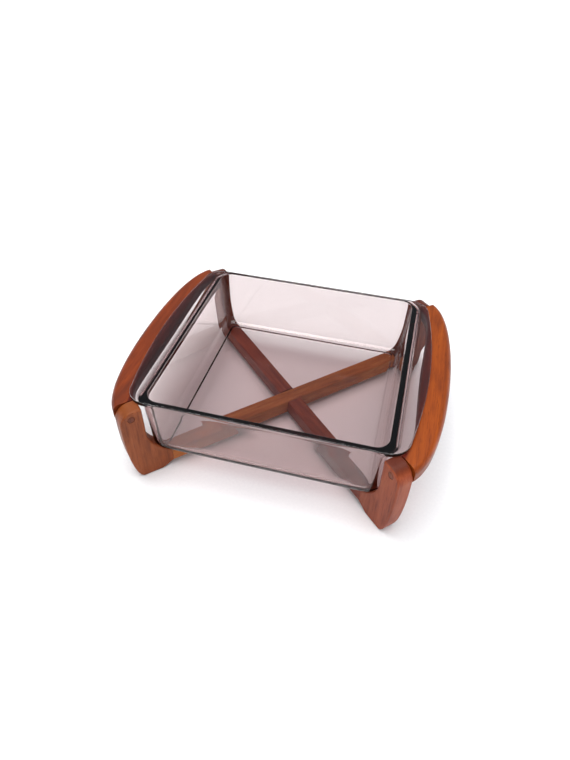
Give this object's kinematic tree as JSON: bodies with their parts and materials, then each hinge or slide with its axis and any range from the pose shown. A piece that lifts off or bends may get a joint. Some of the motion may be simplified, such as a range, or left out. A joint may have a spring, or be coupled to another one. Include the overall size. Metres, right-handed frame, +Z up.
{
  "type": "serving stand with glass dish",
  "caption": "Low wooden serving stand with crossed bars, fin-shaped feet and curved side handles, holding a square lift-out glass baking dish with a lug on each side.",
  "frame": {"origin": "centre of the footprint, on the table under the crossing of the bars", "axes": "+X towards the right handle, +Y towards the rear, +Z up"},
  "size_m": [0.295, 0.2518, 0.0853],
  "materials": {
    "handle_teak": "oiled, sanded, satin",
    "foot_teak": "oiled, sanded, satin",
    "light_teak": "oiled, sanded, satin",
    "red_teak": "oiled, sanded, satin",
    "beech": "turned, fluted dowel",
    "zinc_steel": "zinc plated",
    "smoky_glass": "pressed, fire polished, tinted smoky amethyst"
  },
  "bodies": {
    "stand": {"upper_cross_bar": "light_teak", "lower_cross_bar": "red_teak", "front_right_foot": "foot_teak", "front_right_screw": "zinc_steel", "front_right_plug": "light_teak", "front_right_inner_dowel": "beech", "front_right_outer_dowel": "beech", "rear_right_foot": "foot_teak", "rear_right_screw": "zinc_steel", "rear_right_plug": "light_teak", "rear_right_inner_dowel": "beech", "rear_right_outer_dowel": "beech", "rear_left_foot": "foot_teak", "rear_left_screw": "zinc_steel", "rear_left_plug": "light_teak", "rear_left_inner_dowel": "beech", "rear_left_outer_dowel": "beech", "front_left_foot": "foot_teak", "front_left_screw": "zinc_steel", "front_left_plug": "light_teak", "front_left_inner_dowel": "beech", "front_left_outer_dowel": "beech", "right_handle": "handle_teak", "left_handle": "handle_teak"},
    "dish": {"glass_dish": "smoky_glass"}
  },
  "joints": [
    {"name": "dish_lift", "type": "slide", "parent": "stand", "child": "dish", "axis": [0, 0, 1], "range_m": [0, 0.085]}
  ]
}
